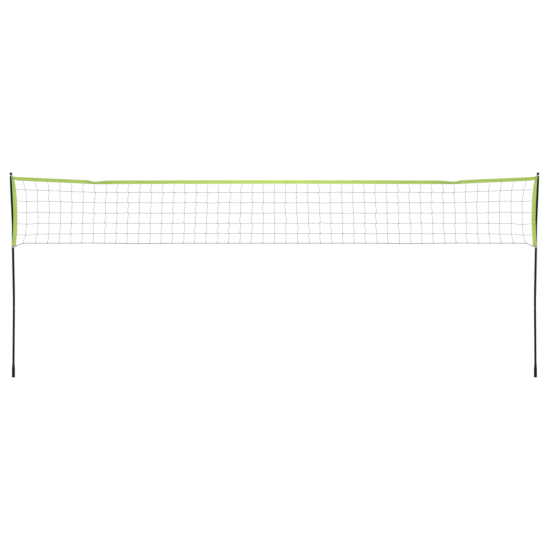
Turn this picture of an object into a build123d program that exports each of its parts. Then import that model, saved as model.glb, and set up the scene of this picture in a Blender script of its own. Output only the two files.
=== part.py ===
from build123d import *

import os
from math import cos, exp, pi, radians, sin, tan

# A recreational volleyball net on two sectional poles, in millimetres with +Z up. The origin is on the
# ground midway between the poles. +X runs along the net to the right pole, and the net hangs on the
# front (-Y) side of the poles. Each side's pieces are drawn on the right and mirrored to the left.

# Pole line: each pole is slightly bowed, so its axis stands at a different X at each level.
FOOT_X = 3050.5
LOWER_SPLICE_X = 3045.5
UPPER_SPLICE_X = 3056.0
TOP_X = 3080.5
TUBE_FOOT_Z = 30.0
LOWER_SPLICE_Z = 823.0
UPPER_SPLICE_Z = 1641.0
TUBE_TOP_Z = 2351.0

# Straight lengths at the ends of each bowed tube
FOOT_RUN = 10.0
LOWER_RUN = 30.0
MIDDLE_RUN = 40.0
TIE_RUN = 15.0
UPPER_RUN = 45.0
CAP_RUN = 42.0

# Steel tube and its push-fit spigots
TUBE_R = 14.0
TUBE_WALL = 1.0
BORE_R = TUBE_R - TUBE_WALL
SPIGOT_LENGTH = 75.0
SPIGOT_R = BORE_R - 0.08
SPIGOT_WALL = 1.4
SPIGOT_LEAD = 2.0
SPIGOT_LEAD_R = 0.5
SHOULDER_HEIGHT = 4.0
SHOULDER_GAP = 0.3
BEND_R = 4000.0
UPPER_BEND_R = 1800.0
TOP_BEND_R = 1000.0

# Moulded foot
FOOT_R = 19.0
FOOT_HEIGHT = 160.0
FOOT_BARREL = 82.0
FOOT_EDGE_R = 3.0
FOOT_LIP_R = 15.4
FOOT_SOCKET_R = TUBE_R + 0.05
SOCKET_GAP = 0.1

# Pole cap: a plug in the tube, a flange on its rim, a neck for the loop and a ball on top
PLUG_R = BORE_R - 0.04
PLUG_LENGTH = 18.0
PLUG_LEAD = 2.0
PLUG_LEAD_R = 1.0
FLANGE_HEIGHT = 3.0
FLANGE_EDGE_R = 1.0
NECK_R = 9.5
BALL_R = 17.0
BALL_Z = 2380.5

# Cords and twine
CORD_GAP = 0.15
LOOP_CORD_R = 2.0
LOOP_TURN_RISE = 4.1
TOP_TURNS = 3
TIE_TURNS = 5
KNOT_R = 6.5
KNOT_GAP = 0.1
TOP_KNOT_ANGLE = radians(25)
BOTTOM_KNOT_ANGLE = radians(35)
TIE_Z = 1520.0
TIE_GAP = 0.3
TOP_CORD_R = 2.5
BOTTOM_CORD_R = 3.0
TWINE_R = 1.5

# Net plane and the top band, a sleeve folded over the top cord and sewn flat below it
NET_Y = -15.3
BAND_HALF = 1.2
SLEEVE_R = 4.4
SLEEVE_DROP = 37.6
HEM_GAP = 1.0
SLEEVE_END_X = 3032.0
SLEEVE_END_Z = 2341.0
MOUTH_RUN = 11.0
SAG_X = 2105.0
TOP_CORD_Z = 2299.5
SAG_BEND_R = 6000.0
MOUTH_BEND_R = 15.0

# Side bands: centre line through a top, a waist and a foot, as (X, Z), and the width of the tape
SIDE_TOP = (3064.0, 2337.0)
SIDE_WAIST = (3027.0, 1930.0)
SIDE_FOOT = (3044.0, 1540.0)
SIDE_WIDTH = 46.0
SIDE_TOP_WIDTH = 30.0
SIDE_TAPER = 130.0
SIDE_HALF = 1.0
SIDE_SPANS = 8

# Netting
COLUMNS = 45
PITCH = 131.6
BOW = 42.0
BOW_REACH = 320.0
LEAST_BOW = 1.0
TWINE_GAP = 0.3
TWINE_LAYER = TWINE_R + 0.075
BOTTOM_CORD_Z = 1569.0
BOTTOM_CORNER_X = 2937.0
ARC_SHARE = 0.45
ROWS = ((2163.0, 35.0), (2043.0, 25.0), (1921.0, 21.0), (1803.0, 8.0), (1683.0, -11.0))


def rod(points, radii, r):
    """A round bar of radius r along straight runs joined by arcs."""
    route = FilletPolyline(*points, radius=radii)
    section = Plane(origin=route @ 0, z_dir=route % 0) * Circle(r)
    return sweep(section, path=route)


def cord(points, radii, r, name):
    """A cord, with its arcs' radii and its length printed, and its volume against section times length."""
    length = FilletPolyline(*points, radius=radii).length
    shape = rod(points, radii, r)
    share = shape.volume / (length * pi * r**2)
    print(f"{name}: {length:.0f} mm long, radii {radii}, volume share {share:.4f}")
    return shape


def turned(x, *outline):
    """A solid of revolution about the vertical line at x from a closed half outline of curves."""
    face = Plane.XZ * make_face(Curve() + list(outline))
    return Pos(x, 0, 0) * revolve(face, axis=Axis.Z)


def ring(x, z, radius, r):
    return Pos(x, 0, z) * Torus(radius, r)


def tube(points, radii):
    return rod(points, radii, TUBE_R) - rod(points, radii, BORE_R)


def spigot(x, z):
    """The swaged end above a tube's full diameter: a shoulder, then a narrower straight spigot."""
    shoulder = z + SHOULDER_HEIGHT
    tip = z + SHOULDER_HEIGHT + SPIGOT_LENGTH
    inner = SPIGOT_R - SPIGOT_WALL
    outline = Polyline(
        (BORE_R, z),
        (TUBE_R, z),
        (SPIGOT_R, shoulder),
        (SPIGOT_R, tip - SPIGOT_LEAD),
        (SPIGOT_R - SPIGOT_LEAD_R, tip),
        (inner, tip),
        (inner, shoulder),
        close=True,
    )
    return turned(x, outline)


def lower_tube():
    end = LOWER_SPLICE_Z - SHOULDER_HEIGHT - SHOULDER_GAP
    points = (
        (FOOT_X, 0, TUBE_FOOT_Z),
        (FOOT_X, 0, FOOT_HEIGHT + FOOT_RUN),
        (LOWER_SPLICE_X, 0, end - LOWER_RUN),
        (LOWER_SPLICE_X, 0, end),
    )
    return tube(points, BEND_R) + spigot(LOWER_SPLICE_X, end)


def middle_tube():
    end = UPPER_SPLICE_Z - SHOULDER_HEIGHT - SHOULDER_GAP
    points = (
        (LOWER_SPLICE_X, 0, LOWER_SPLICE_Z),
        (LOWER_SPLICE_X, 0, LOWER_SPLICE_Z + SPIGOT_LENGTH + MIDDLE_RUN),
        (UPPER_SPLICE_X, 0, TIE_Z - TIE_RUN),
        (UPPER_SPLICE_X, 0, end),
    )
    return tube(points, BEND_R) + spigot(UPPER_SPLICE_X, end)


def upper_tube():
    points = (
        (UPPER_SPLICE_X, 0, UPPER_SPLICE_Z),
        (UPPER_SPLICE_X, 0, UPPER_SPLICE_Z + SPIGOT_LENGTH + UPPER_RUN),
        (TOP_X, 0, TUBE_TOP_Z - CAP_RUN),
        (TOP_X, 0, TUBE_TOP_Z),
    )
    return tube(points, (UPPER_BEND_R, TOP_BEND_R))


def foot():
    """A closed-bottomed moulding that the tube stands in, easing in to the tube at its top."""
    corner = FOOT_R - FOOT_EDGE_R
    return turned(
        FOOT_X,
        Line((0, 0), (corner, 0)),
        RadiusArc((corner, 0), (FOOT_R, FOOT_EDGE_R), -FOOT_EDGE_R),
        Line((FOOT_R, FOOT_EDGE_R), (FOOT_R, FOOT_BARREL)),
        Spline((FOOT_R, FOOT_BARREL), (FOOT_LIP_R, FOOT_HEIGHT), tangents=((0, 1), (0, 1))),
        Polyline(
            (FOOT_LIP_R, FOOT_HEIGHT),
            (FOOT_SOCKET_R, FOOT_HEIGHT),
            (FOOT_SOCKET_R, TUBE_FOOT_Z - SOCKET_GAP),
            (0, TUBE_FOOT_Z - SOCKET_GAP),
            (0, 0),
        ),
    )


def cap():
    """Plug, flange and neck in one outline, joined to the ball."""
    flange_top = TUBE_TOP_Z + FLANGE_HEIGHT
    edge = TUBE_R - FLANGE_EDGE_R
    stem = turned(
        TOP_X,
        Polyline(
            (0, TUBE_TOP_Z - PLUG_LENGTH),
            (PLUG_R - PLUG_LEAD_R, TUBE_TOP_Z - PLUG_LENGTH),
            (PLUG_R, TUBE_TOP_Z - PLUG_LENGTH + PLUG_LEAD),
            (PLUG_R, TUBE_TOP_Z),
            (TUBE_R, TUBE_TOP_Z),
            (TUBE_R, flange_top - FLANGE_EDGE_R),
        ),
        RadiusArc((TUBE_R, flange_top - FLANGE_EDGE_R), (edge, flange_top), -FLANGE_EDGE_R),
        Polyline((edge, flange_top), (NECK_R, flange_top), (NECK_R, BALL_Z), (0, BALL_Z),
                 (0, TUBE_TOP_Z - PLUG_LENGTH)),
    )
    return stem + Pos(TOP_X, 0, BALL_Z) * Sphere(BALL_R)


def knot(x, radius, angle, z):
    """A knot's round solid outside a loop, towards the net and to the front; also its centre."""
    reach = radius + LOOP_CORD_R + KNOT_GAP + KNOT_R
    centre = Vector(x - reach * cos(angle), -reach * sin(angle), z)
    return Pos(*centre) * Sphere(KNOT_R), centre


TOP_LOOP_R = NECK_R + CORD_GAP + LOOP_CORD_R
TOP_LOOP_Z = TUBE_TOP_Z + FLANGE_HEIGHT + CORD_GAP + LOOP_CORD_R
TIE_R = TUBE_R + TIE_GAP + LOOP_CORD_R
TOP_KNOT_Z = TOP_LOOP_Z + LOOP_TURN_RISE * (TOP_TURNS - 1) / 2
TIE_KNOT_Z = TIE_Z + LOOP_TURN_RISE * (TIE_TURNS - 1) / 2
TOP_KNOT, TOP_KNOT_AT = knot(TOP_X, TOP_LOOP_R, TOP_KNOT_ANGLE, TOP_KNOT_Z)
TIE_KNOT, TIE_KNOT_AT = knot(UPPER_SPLICE_X, TIE_R, BOTTOM_KNOT_ANGLE, TIE_KNOT_Z)


def loop(x, z, radius, turns, knot_shape):
    """The turns of a cord round the pole or its neck, and the knot that closes them."""
    rings = [ring(x, z + turn * LOOP_TURN_RISE, radius, LOOP_CORD_R) for turn in range(turns)]
    return Compound(children=[*rings, knot_shape])


def mirrored_route(points):
    """A route's right half, then the same points in reverse on the left."""
    return [*points, *[(-x, y, z) for x, y, z in reversed(points)]]


def from_knot(centre, towards):
    """Where a cord meets its knot on the way to the next point."""
    away = (Vector(*towards) - centre).normalized()
    return tuple(centre + away * (KNOT_R + KNOT_GAP))


def sleeve_z(x):
    """The top cord's height above a point on the net."""
    past = max(0.0, abs(x) - SAG_X) / (SLEEVE_END_X - SAG_X)
    return TOP_CORD_Z + past * (SLEEVE_END_Z - TOP_CORD_Z)


def top_cord():
    mouth_x = SLEEVE_END_X + MOUTH_RUN
    mouth = (mouth_x, NET_Y, sleeve_z(mouth_x))
    sag = (SAG_X, NET_Y, TOP_CORD_Z)
    route = mirrored_route([from_knot(TOP_KNOT_AT, mouth), mouth, sag])
    radii = (MOUTH_BEND_R, SAG_BEND_R, SAG_BEND_R, MOUTH_BEND_R)
    return cord(route, radii, TOP_CORD_R, "top_cord")


def top_band():
    """The sleeve: round over the cord and flat below it, with the cord's channel open at both ends.

    It is cut through at its two bends, so that each length is straight."""
    points = mirrored_route([(SLEEVE_END_X, NET_Y, SLEEVE_END_Z), (SAG_X, NET_Y, TOP_CORD_Z)])
    route = FilletPolyline(*points, radius=SAG_BEND_R)
    plane = Plane(origin=route @ 0, x_dir=(0, 1, 0), z_dir=route % 0)
    down = -1 if plane.y_dir.Z > 0 else 1
    hem = Pos(0, down * SLEEVE_DROP / 2) * Rectangle(2 * BAND_HALF, SLEEVE_DROP)
    sleeve = sweep(plane * (Circle(SLEEVE_R) + hem), path=route)
    sleeve -= rod(points, SAG_BEND_R, TOP_CORD_R + CORD_GAP)
    for x in (-SAG_X, SAG_X):
        sleeve = split(sleeve, bisect_by=Plane.YZ.offset(x), keep=Keep.BOTH)
    return Compound(children=sleeve.solids())


def side_x(z):
    """The side band's centre line: the parabola through its top, waist and foot."""
    (xa, za), (xb, zb), (xc, zc) = SIDE_TOP, SIDE_WAIST, SIDE_FOOT
    top = xa * (z - zb) * (z - zc) / ((za - zb) * (za - zc))
    waist = xb * (z - za) * (z - zc) / ((zb - za) * (zb - zc))
    return top + waist + xc * (z - za) * (z - zb) / ((zc - za) * (zc - zb))


def side_half_width(z):
    """Half the tape's width, gathered in over its last stretch below the top."""
    gather = max(0.0, 1 - (SIDE_TOP[1] - z) / SIDE_TAPER) ** 2
    return (SIDE_WIDTH - (SIDE_WIDTH - SIDE_TOP_WIDTH) * gather) / 2


def side_band():
    foot_z, top_z = SIDE_FOOT[1], SIDE_TOP[1]
    levels = [foot_z + (top_z - foot_z) * i / SIDE_SPANS for i in range(SIDE_SPANS + 1)]
    outer = [(side_x(z) + side_half_width(z), z) for z in levels]
    inner = [(side_x(z) - side_half_width(z), z) for z in levels]
    outline = [
        Spline(*outer),
        Line(outer[-1], inner[-1]),
        Spline(*inner),
        Line(inner[0], outer[0]),
    ]
    face = Plane.XZ * make_face(Curve() + outline)
    return Pos(0, NET_Y + SIDE_HALF, 0) * extrude(face, SIDE_HALF * 2)


def bottom_cord():
    corner = (BOTTOM_CORNER_X, NET_Y, BOTTOM_CORD_Z)
    route = mirrored_route([from_knot(TIE_KNOT_AT, corner), corner])
    run = (Vector(*route[0]) - Vector(*route[1])).length
    turn = (Vector(*route[0]) - Vector(*route[1])).get_angle(Vector(1, 0, 0))
    radius = round(ARC_SHARE * run / tan(radians(turn / 2)), 1)
    return cord(route, radius, BOTTOM_CORD_R, "bottom_cord")


def column(number):
    """One upright twine, bowed towards the middle of the net near the poles."""
    x = (number - (COLUMNS - 1) / 2) * PITCH
    from_end = (COLUMNS - 1) / 2 * PITCH - abs(x)
    side = 1 if x > 0 else -1
    bow = side * BOW * exp(-from_end / BOW_REACH)
    high = sleeve_z(x + bow) - SLEEVE_DROP - HEM_GAP
    low = BOTTOM_CORD_Z + BOTTOM_CORD_R + TWINE_GAP
    y = NET_Y + TWINE_LAYER
    if abs(bow) < LEAST_BOW:
        route = Line((x, y, high), (x, y, low))
    else:
        route = ThreePointArc((x + bow, y, high), (x, y, (high + low) / 2), (x + bow, y, low))
    return sweep(Plane(origin=route @ 0, z_dir=route % 0) * Circle(TWINE_R), path=route)


def row(level, rise):
    """One long twine from side band to side band, level in the middle and sloping at both ends."""
    end_z = level + rise
    end_x = side_x(end_z) - side_half_width(end_z) - TWINE_GAP
    y = NET_Y - TWINE_LAYER
    route = mirrored_route([(end_x, y, end_z), (SAG_X, y, level)])
    return rod(route, SAG_BEND_R, TWINE_R)


NODES = {
    "top_cord": top_cord(),
    "top_band": top_band(),
    "bottom_cord": bottom_cord(),
    "net_columns": Compound(children=[column(i) for i in range(COLUMNS)]),
    "net_rows": Compound(children=[row(*r) for r in ROWS]),
}
SIDE_NODES = {
    "foot": foot(),
    "lower_tube": lower_tube(),
    "middle_tube": middle_tube(),
    "upper_tube": upper_tube(),
    "pole_cap": cap(),
    "top_loop": loop(TOP_X, TOP_LOOP_Z, TOP_LOOP_R, TOP_TURNS, TOP_KNOT),
    "bottom_tie": loop(UPPER_SPLICE_X, TIE_Z, TIE_R, TIE_TURNS, TIE_KNOT),
    "side_band": side_band(),
}

os.makedirs("parts", exist_ok=True)
for name, shape in NODES.items():
    export_step(shape, f"parts/{name}.step")
for name, shape in SIDE_NODES.items():
    export_step(shape, f"parts/right_{name}.step")
    export_step(mirror(shape, about=Plane.YZ), f"parts/left_{name}.step")
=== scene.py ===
from collections import namedtuple
from math import acos, atan2, cos, exp, pi, radians, sin
from random import Random

import bpy
import numpy as np
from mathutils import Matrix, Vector, noise


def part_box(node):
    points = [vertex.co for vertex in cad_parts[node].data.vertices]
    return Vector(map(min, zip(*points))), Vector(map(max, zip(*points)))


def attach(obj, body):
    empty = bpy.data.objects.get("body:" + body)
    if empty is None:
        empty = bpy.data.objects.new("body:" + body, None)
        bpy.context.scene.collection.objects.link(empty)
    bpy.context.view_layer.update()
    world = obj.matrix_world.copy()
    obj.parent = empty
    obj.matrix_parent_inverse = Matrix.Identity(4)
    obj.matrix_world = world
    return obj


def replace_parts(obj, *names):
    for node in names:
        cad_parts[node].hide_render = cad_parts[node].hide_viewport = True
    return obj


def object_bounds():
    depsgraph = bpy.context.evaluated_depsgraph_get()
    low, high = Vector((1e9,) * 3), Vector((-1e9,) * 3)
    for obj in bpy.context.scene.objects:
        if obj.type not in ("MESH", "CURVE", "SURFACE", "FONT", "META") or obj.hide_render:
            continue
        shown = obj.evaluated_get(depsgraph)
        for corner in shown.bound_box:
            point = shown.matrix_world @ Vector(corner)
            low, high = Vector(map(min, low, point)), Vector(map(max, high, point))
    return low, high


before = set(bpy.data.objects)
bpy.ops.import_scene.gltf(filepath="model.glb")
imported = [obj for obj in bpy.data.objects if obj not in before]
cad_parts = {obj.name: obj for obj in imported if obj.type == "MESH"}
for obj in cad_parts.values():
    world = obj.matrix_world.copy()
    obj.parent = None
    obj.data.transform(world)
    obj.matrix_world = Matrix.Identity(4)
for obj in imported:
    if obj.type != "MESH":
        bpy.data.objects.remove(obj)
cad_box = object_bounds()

# ---------------------------------------------------------------------------------------------------
# Places, in metres. The net hangs on the -Y side of the poles and mirrors about X = 0.

NET_BODY = "left_upper_and_net"
SIDES = {"left": -1, "right": 1}

TUBE_R = 0.014
BALL_R = 0.017
TOP_CORD_R = 0.0025
BOTTOM_CORD_R = 0.0031
LOOP_CORD_R = 0.0018
TWINE_R = 0.0018
LOOP_RING_R = 0.0114
TIE_RING_R = 0.0163

# Sizes in CAD that turn its pieces' boxes into centre lines
CAD_BOTTOM_CORD_R = 0.003
CAD_TIE_CORD_R = 0.002
CAD_KNOT_R = 0.0065
CAD_SLEEVE_R = 0.0044
SHOULDER_HEIGHT = 0.0043
SLEEVE_DROP = 0.0376

sleeve_low, sleeve_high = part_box("top_band")
side_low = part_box("right_side_band")[0]
bottom_cord_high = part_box("bottom_cord")[1]
cap_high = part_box("right_pole_cap")[1]
tube_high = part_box("right_upper_tube")[1]
loop_low, loop_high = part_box("right_top_loop")
tie_low, tie_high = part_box("right_bottom_tie")

NET_Y = (sleeve_low.y + sleeve_high.y) / 2
BOTTOM_Z = bottom_cord_high.z - CAD_BOTTOM_CORD_R
SAG_Z = sleeve_low.z + SLEEVE_DROP
SAG_X = 2.105
CAD_SLEEVE_X = sleeve_high.x
SLEEVE_END_Z = sleeve_high.z - CAD_SLEEVE_R
TOP_X = tube_high.x - TUBE_R
TIE_X = tie_high.x - TIE_RING_R - CAD_TIE_CORD_R


def knot_place(low, high):
    """The middle of the knot at the near, inner side of a loop's box."""
    return Vector((low.x + CAD_KNOT_R, low.y + CAD_KNOT_R, (low.z + high.z) / 2))


loop_knot = knot_place(loop_low, loop_high)
tie_knot = knot_place(tie_low, tie_high)

SEED_STEPS = (7.31, 3.17)


def eased(x, start, end):
    """0 before start and 1 after end, with a smooth rise between them."""
    t = min(1.0, max(0.0, (x - start) / (end - start)))
    return t * t * (3 - 2 * t)


def bell(x, middle, reach):
    """1 at the middle, falling smoothly to 0 on both sides."""
    return exp(-(((x - middle) / reach) ** 2))


def wander(x, length, seed):
    """Smooth noise from about -1 to 1 along one coordinate."""
    return noise.noise(Vector((x / length, seed * SEED_STEPS[0], seed * SEED_STEPS[1])))


# ---------------------------------------------------------------------------------------------------
# Mesh tools

CLOTH_MAP = "cloth"
CURVE_STEPS = 12
OFF_AXIS = (0.31, 0.52, 0.79)
STRAND_OVERLAP = 1.04
TREFOIL_DEPTH = 1.5


def smooth_line(points, step):
    """The points joined by a Catmull-Rom curve, resampled in equal steps."""
    p = np.array(points, float)
    p = np.vstack([2 * p[0] - p[1], p, 2 * p[-1] - p[-2]])
    t = np.linspace(0, 1, CURVE_STEPS, endpoint=False)[:, None]
    runs = []
    for a, b, c, d in zip(p, p[1:], p[2:], p[3:]):
        square = 2 * a - 5 * b + 4 * c - d
        cube = 3 * b - a - 3 * c + d
        runs.append((2 * b + (c - a) * t + square * t**2 + cube * t**3) / 2)
    runs.append(p[-2:-1])
    return even_line(np.vstack(runs), step)


def lengths(line):
    """How far along a line each of its points is."""
    return np.concatenate([[0], np.cumsum(np.linalg.norm(np.diff(line, axis=0), axis=1))])


def even_line(points, step):
    """A line's points moved along it so that they are equally spaced."""
    p = np.array(points, float)
    along = lengths(p)
    wanted = np.linspace(0, along[-1], max(2, round(along[-1] / step) + 1))
    return np.stack([np.interp(wanted, along, p[:, i]) for i in range(3)], axis=1)


def frames(line):
    """Two directions square to a line and to each other, carried along it without twisting."""
    run = np.gradient(line, axis=0)
    run /= np.linalg.norm(run, axis=1)[:, None]
    side = np.empty_like(line)
    first = np.cross(run[0], OFF_AXIS)
    side[0] = first / np.linalg.norm(first)
    for i in range(1, len(line)):
        moved = side[i - 1] - run[i] * side[i - 1].dot(run[i])
        side[i] = moved / np.linalg.norm(moved)
    return side, np.cross(run, side)


def ring_angles(sides):
    return np.linspace(0, 2 * pi, sides, endpoint=False)[None, :]


class Shape:
    """Vertices and faces gathered for one mesh, with cloth coordinates in metres where given."""

    def __init__(self):
        self.verts = []
        self.faces = []
        self.cloth = []
        self.count = 0

    def grid(self, points, closed=False, capped=False, cloth=None):
        """Faces between rows of points. closed joins each row into a ring, and capped fills both ends."""
        rows, across = points.shape[:2]
        index = self.count + np.arange(rows * across).reshape(rows, across)
        right = np.roll(index, -1, axis=1)
        if not closed:
            index, right = index[:, :-1], right[:, :-1]
        quads = np.stack([index[:-1], right[:-1], right[1:], index[1:]], axis=-1).reshape(-1, 4)
        self.faces.extend(quads.tolist())
        if capped:
            first = self.count + np.arange(across)
            last = first + (rows - 1) * across
            self.faces.append(first[::-1].tolist())
            self.faces.append(last.tolist())
        self.verts.append(points.reshape(-1, 3))
        self.cloth.append(np.zeros((rows * across, 2)) if cloth is None else cloth.reshape(-1, 2))
        self.count += rows * across

    def tube(self, line, radius, sides=6, lay=0.0, lobe=0.0):
        """A round bar along a line. lobe flattens it to two plies that turn once in each lay."""
        side, up = frames(line)
        angle = ring_angles(sides)
        turn = 2 * pi * lengths(line)[:, None] / lay if lay else 0.0
        r = np.broadcast_to(radius, len(line))[:, None] * (1 - lobe * np.sin(angle) ** 2)
        a = angle + turn
        ring = side[:, None] * (r * np.cos(a))[..., None] + up[:, None] * (r * np.sin(a))[..., None]
        self.grid(line[:, None] + ring, closed=True, capped=True)

    def rope(self, line, radius, lay, strands=3, sides=6, steps=10):
        """A laid rope: strands wound round a line, with several steps in each turn."""
        line = even_line(line, lay / steps)
        side, up = frames(line)
        strand_r = radius / (1 + 1 / sin(pi / strands)) * STRAND_OVERLAP
        for strand in range(strands):
            a = (2 * pi * (lengths(line) / lay + strand / strands))[:, None]
            self.tube(line + (radius - strand_r) * (side * np.cos(a) + up * np.sin(a)), strand_r, sides)

    def knot(self, centre, size, r, turn, flat, steps, sides):
        """A pulled tight overhand knot: a trefoil of cord of radius r that fills a ball of radius size."""
        t = np.linspace(0, 2 * pi, steps, endpoint=False)
        scale = (size - r) / 3
        x = (2 + np.cos(3 * t)) * np.cos(2 * t) * scale
        y = np.sin(3 * t) * scale * flat * TREFOIL_DEPTH
        z = (2 + np.cos(3 * t)) * np.sin(2 * t) * scale
        a, b = turn
        x, z = x * cos(a) - z * sin(a), x * sin(a) + z * cos(a)
        x, y = x * cos(b) - y * sin(b), x * sin(b) + y * cos(b)
        line = np.stack([x, y, z], axis=1) + np.array(centre)
        side = line - np.array(centre)
        run = np.roll(line, -1, axis=0) - np.roll(line, 1, axis=0)
        run /= np.linalg.norm(run, axis=1)[:, None]
        side -= run * (side * run).sum(axis=1)[:, None]
        side /= np.linalg.norm(side, axis=1)[:, None]
        up = np.cross(run, side)
        angle = ring_angles(sides)
        ring = side[:, None] * (r * np.cos(angle))[..., None] + up[:, None] * (r * np.sin(angle))[..., None]
        points = line[:, None] + ring
        self.grid(np.vstack([points, points[:1]]), closed=True)

    def piece(self, name, finish, slot, body=NET_BODY, thick=0.0):
        """The gathered mesh as a smooth object that rides on a body. thick turns a sheet into cloth."""
        mesh = bpy.data.meshes.new(name)
        verts = np.vstack(self.verts)
        mesh.from_pydata(verts.tolist(), [], self.faces)
        mesh.polygons.foreach_set("use_smooth", [True] * len(mesh.polygons))
        cloth = np.vstack(self.cloth)
        if cloth.any():
            corner = np.empty(len(mesh.loops), np.int32)
            mesh.loops.foreach_get("vertex_index", corner)
            mesh.uv_layers.new(name=CLOTH_MAP).data.foreach_set("uv", cloth[corner].ravel())
        mesh.validate()
        mesh.update()
        obj = bpy.data.objects.new(name, mesh)
        bpy.context.scene.collection.objects.link(obj)
        mesh.materials.append(finish)
        if thick:
            solid = obj.modifiers.new("cloth thickness", "SOLIDIFY")
            solid.thickness = thick
            solid.offset = 0
        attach(obj, body)
        return obj


# ---------------------------------------------------------------------------------------------------
# Materials

# A wave texture of scale 1 repeats at this distance
WAVE_TURN = 2 * pi / 20

# The colour sockets of a Mix node
MIX_SHARE = 0
MIX_A = 6
MIX_B = 7
MIX_RESULT = 2

# Noise is mostly between these
NOISE_LOW = 0.3
NOISE_HIGH = 0.7

Relief = namedtuple("Relief", "height depth strength")


class Finish:
    """One material: a Principled shader and the texture nodes that feed it."""

    def __init__(self, name, **sockets):
        self.material = bpy.data.materials.new(name)
        self.material.use_nodes = True
        self.tree = self.material.node_tree
        self.shader = self.tree.nodes["Principled BSDF"]
        for socket, value in sockets.items():
            self.shader.inputs[socket.replace("_", " ")].default_value = value

    def node(self, kind, inputs=None, **settings):
        made = self.tree.nodes.new("ShaderNode" + kind)
        for key, value in settings.items():
            setattr(made, key, value)
        for key, value in (inputs or {}).items():
            if isinstance(value, bpy.types.NodeSocket):
                self.tree.links.new(value, made.inputs[key])
            else:
                made.inputs[key].default_value = value
        return made

    def place(self, scale=(1.0, 1.0, 1.0), cloth=False):
        """Coordinates in metres, of the object or of the cloth, stretched by scale."""
        if cloth:
            source = self.node("UVMap", uv_map=CLOTH_MAP).outputs["UV"]
        else:
            source = self.node("TexCoord").outputs["Object"]
        return self.node("Mapping", {"Vector": source, "Scale": scale}).outputs["Vector"]

    def parts(self, where):
        """The X, Y and Z of a place."""
        return self.node("SeparateXYZ", {"Vector": where}).outputs

    def grain(self, where, scale, detail=3.0, rough=0.5):
        """Noise from 0 to 1."""
        inputs = {"Vector": where, "Scale": scale, "Detail": detail, "Roughness": rough}
        return self.node("TexNoise", inputs).outputs["Fac"]

    def ridges(self, where, period, across, distortion):
        """A wave from 0 to 1 that repeats each period."""
        inputs = {"Vector": where, "Scale": WAVE_TURN / period, "Distortion": distortion}
        return self.node("TexWave", inputs, bands_direction=across).outputs["Fac"]

    def math(self, operation, a, b=0.0, c=0.0):
        return self.node("Math", {0: a, 1: b, 2: c}, operation=operation).outputs[0]

    def spread(self, value, low=NOISE_LOW, high=NOISE_HIGH, to_low=0.0, to_high=1.0):
        """value moved from one range to another, and held inside it."""
        inputs = {"Value": value, "From Min": low, "From Max": high, "To Min": to_low, "To Max": to_high}
        return self.node("MapRange", inputs).outputs["Result"]

    def mix(self, share, a, b):
        """Colour a where share is 0 and b where it is 1."""
        inputs = {MIX_SHARE: share, MIX_A: a, MIX_B: b}
        return self.node("Mix", inputs, data_type="RGBA").outputs[MIX_RESULT]

    def feed(self, socket, value):
        self.tree.links.new(value, self.shader.inputs[socket])

    def bump(self, *reliefs):
        """Bumps one on the other. Each height is from 0 to 1, and each depth is in metres."""
        normal = None
        for relief in reliefs:
            inputs = {"Height": relief.height, "Distance": relief.depth, "Strength": relief.strength}
            if normal:
                inputs["Normal"] = normal
            normal = self.node("Bump", inputs).outputs["Normal"]
        self.feed("Normal", normal)


def grey(value, warm=0.0):
    return (value * (1 + warm), value, value * (1 - warm), 1.0)


def scaled(colour, share):
    return tuple(c * share for c in colour[:3]) + (1.0,)


BARE_STEEL = grey(0.26, warm=0.02)
STEEL_ROUGHNESS = 0.42
SCUFF_SHARE = 0.07
ALONG_THE_POLE = (1.0, 1.0, 0.06)
CHIPPED_RIM = 0.0016


def pole_paint(name, spigot_z=None, rim_z=None):
    """Black powder coat, worn where the next section slides: on the spigot and at the rim that meets it."""
    f = Finish(name, Specular_IOR_Level=0.14)
    where = f.place()
    along = f.place(ALONG_THE_POLE)
    fleck = f.grain(where, scale=2500.0, detail=2.0)
    smudge = f.grain(where, scale=14.0, detail=4.0)
    scuff = f.spread(f.grain(along, scale=900.0, detail=4.0), low=0.60, high=0.72)
    colour = f.mix(f.spread(fleck, low=0.35), grey(0.0030), grey(0.0055))
    rough = f.spread(smudge, to_low=0.30, to_high=0.46)
    height = f.parts(where)["Z"]
    worn = f.math("MULTIPLY", scuff, SCUFF_SHARE)
    if spigot_z:
        on_spigot = f.spread(height, low=spigot_z - 0.0004, high=spigot_z + 0.0002)
        streak = f.grain(along, scale=420.0, detail=5.0)
        rubbed = f.spread(streak, low=0.36, high=0.58, to_low=0.35)
        worn = f.math("MAXIMUM", worn, f.math("MULTIPLY", on_spigot, rubbed))
    if rim_z:
        chip = f.spread(f.grain(where, scale=700.0, detail=4.0), low=0.44, high=0.56)
        near_rim = f.spread(height, low=rim_z, high=rim_z + CHIPPED_RIM, to_low=1.0, to_high=0.0)
        worn = f.math("MAXIMUM", worn, f.math("MULTIPLY", near_rim, chip))
    f.feed("Base Color", f.mix(worn, colour, BARE_STEEL))
    f.feed("Metallic", worn)
    f.feed("Roughness", f.math("MAXIMUM", rough, f.math("MULTIPLY", worn, STEEL_ROUGHNESS)))
    f.bump(
        Relief(f.grain(where, scale=420.0, detail=2.0), depth=0.00035, strength=0.35),
        Relief(fleck, depth=0.00006, strength=0.3),
        Relief(scuff, depth=0.00008, strength=-0.3),
    )
    return f.material


DUST = (0.10, 0.085, 0.065, 1.0)
DUST_SHARE = 0.30
DUST_LOW = 0.002
DUST_HIGH = 0.055


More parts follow.
